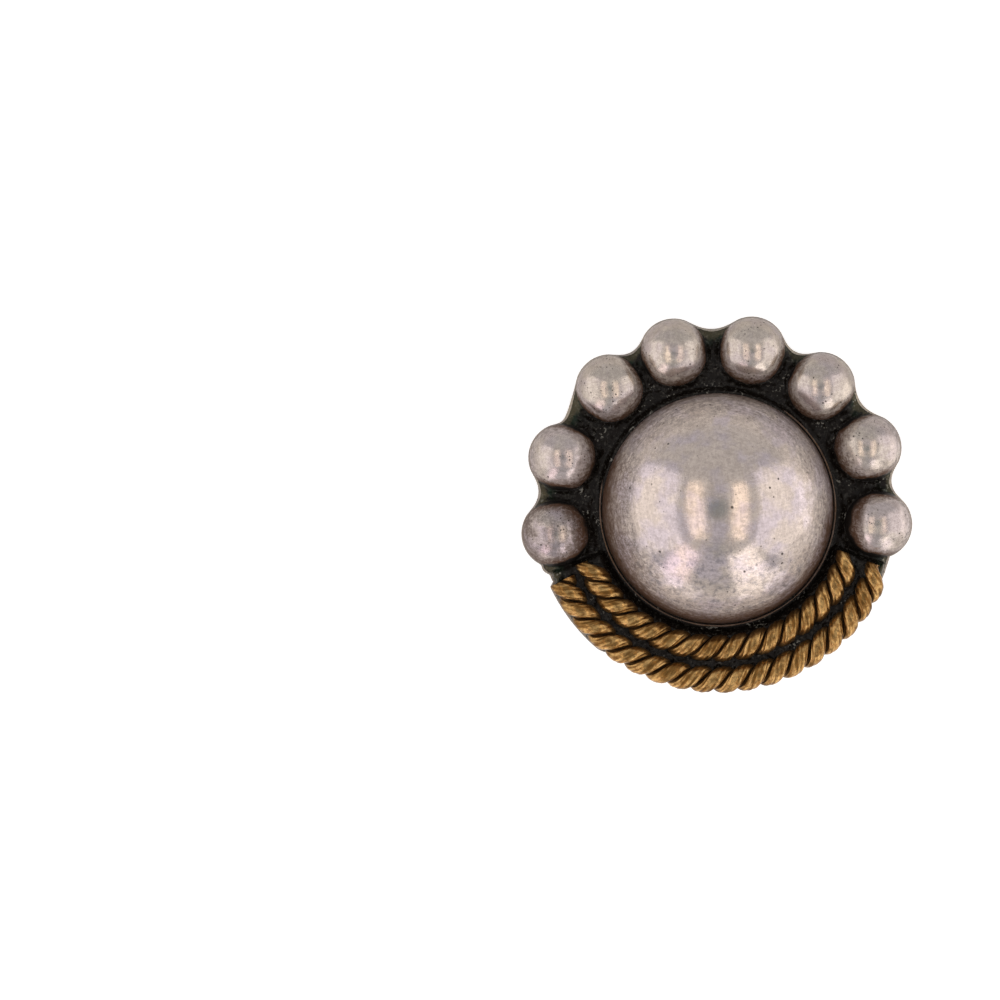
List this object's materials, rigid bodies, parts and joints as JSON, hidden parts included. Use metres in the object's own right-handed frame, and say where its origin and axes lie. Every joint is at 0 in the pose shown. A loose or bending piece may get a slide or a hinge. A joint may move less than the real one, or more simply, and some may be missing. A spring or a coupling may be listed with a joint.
{
  "type": "dome earring",
  "caption": "Clip-on button earring: a hollow satin silver dome ringed above by half-ball silver beads and below by concentric twisted brass ropes, on a scalloped plate with an ear clip.",
  "frame": {"origin": "on the dome's axis, on the flat foot of the ear clip, where the earring rests face up", "axes": "+Z out of the side that shows, +Y the top as worn, +X the right as seen from the front"},
  "size_m": [0.0279, 0.0269, 0.0141],
  "materials": {
    "silver": "satin worn silver, black-brown tarnish in the recesses",
    "brass_wire": "aged brass, worn bright on the crests, black in the grooves",
    "clip_silver": "satin silver"
  },
  "bodies": {
    "root": {"silver_body": "silver", "inner_rope_wire_a": "brass_wire", "inner_rope_wire_b": "brass_wire", "outer_rope_wire_a": "brass_wire", "outer_rope_wire_b": "brass_wire", "ear_clip": "clip_silver"}
  },
  "joints": []
}
